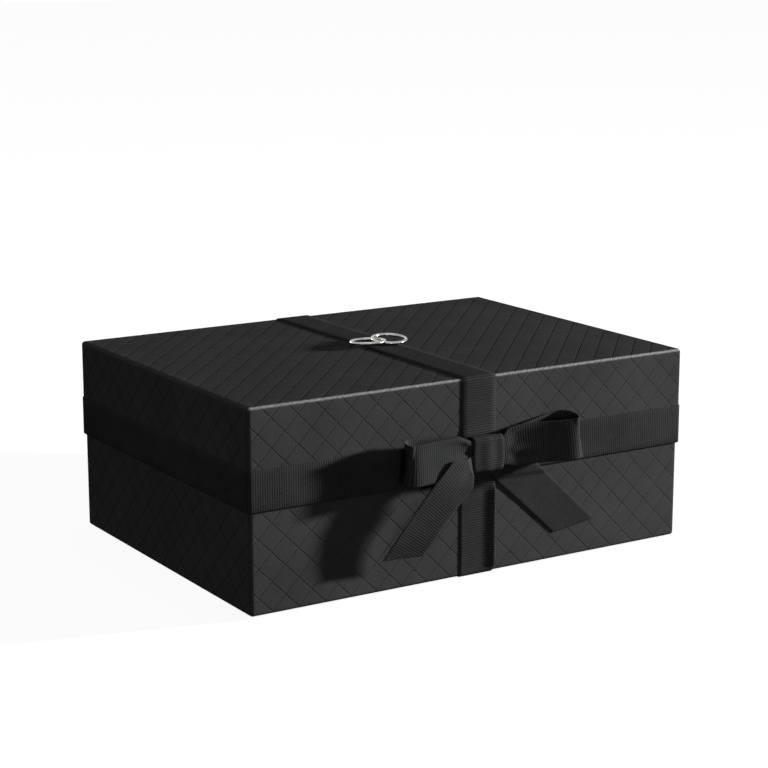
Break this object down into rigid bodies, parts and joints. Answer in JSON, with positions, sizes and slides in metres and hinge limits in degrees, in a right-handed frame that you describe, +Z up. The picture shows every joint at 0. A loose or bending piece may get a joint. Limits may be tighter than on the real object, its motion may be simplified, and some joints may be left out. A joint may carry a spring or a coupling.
{
  "type": "gift box",
  "caption": "Rectangular rigid gift box with a lift-off lid, quilted dark paper wrap, ribbon band, tied bow on the front and a metal ring ornament on top.",
  "frame": {"origin": "middle of the underside, on the face of the ribbon that the box stands on", "axes": "+X along the long side, -Y towards the bow, +Z up"},
  "size_m": [0.2558, 0.2017, 0.1046],
  "materials": {
    "greyboard": "raw grey board",
    "embossed_paper": "satin dark paper with pressed diagonal lines",
    "plain_paper": "matt dark paper",
    "corner_tape": "kraft paper tape",
    "ribbon": "cross-ribbed grosgrain",
    "silver_metal": "polished silver plate",
    "adhesive": "clear set adhesive"
  },
  "bodies": {
    "base": {"base_bottom_board": "greyboard", "base_front_board": "greyboard", "base_back_board": "greyboard", "base_left_board": "greyboard", "base_right_board": "greyboard", "base_corner_tapes": "corner_tape", "base_wrap": "embossed_paper", "neck_front_board": "greyboard", "neck_back_board": "greyboard", "neck_left_board": "greyboard", "neck_right_board": "greyboard", "neck_wrap": "plain_paper", "floor_lining": "plain_paper", "base_ribbon": "ribbon"},
    "lid": {"lid_top_board": "greyboard", "lid_front_board": "greyboard", "lid_back_board": "greyboard", "lid_left_board": "greyboard", "lid_right_board": "greyboard", "lid_corner_tapes": "corner_tape", "lid_wrap": "embossed_paper", "lid_lining": "plain_paper", "lid_ribbon_band": "ribbon", "lid_ribbon_cross": "ribbon", "bow_knot": "ribbon", "bow_loop_left": "ribbon", "bow_loop_right": "ribbon", "bow_tail_left": "ribbon", "bow_tail_right": "ribbon", "ring_ornament": "silver_metal", "ring_adhesive_dots": "adhesive"}
  },
  "joints": [
    {"name": "lid_lift", "type": "slide", "parent": "base", "child": "lid", "axis": [0, 0, 1], "range_m": [0, 0.1]}
  ]
}
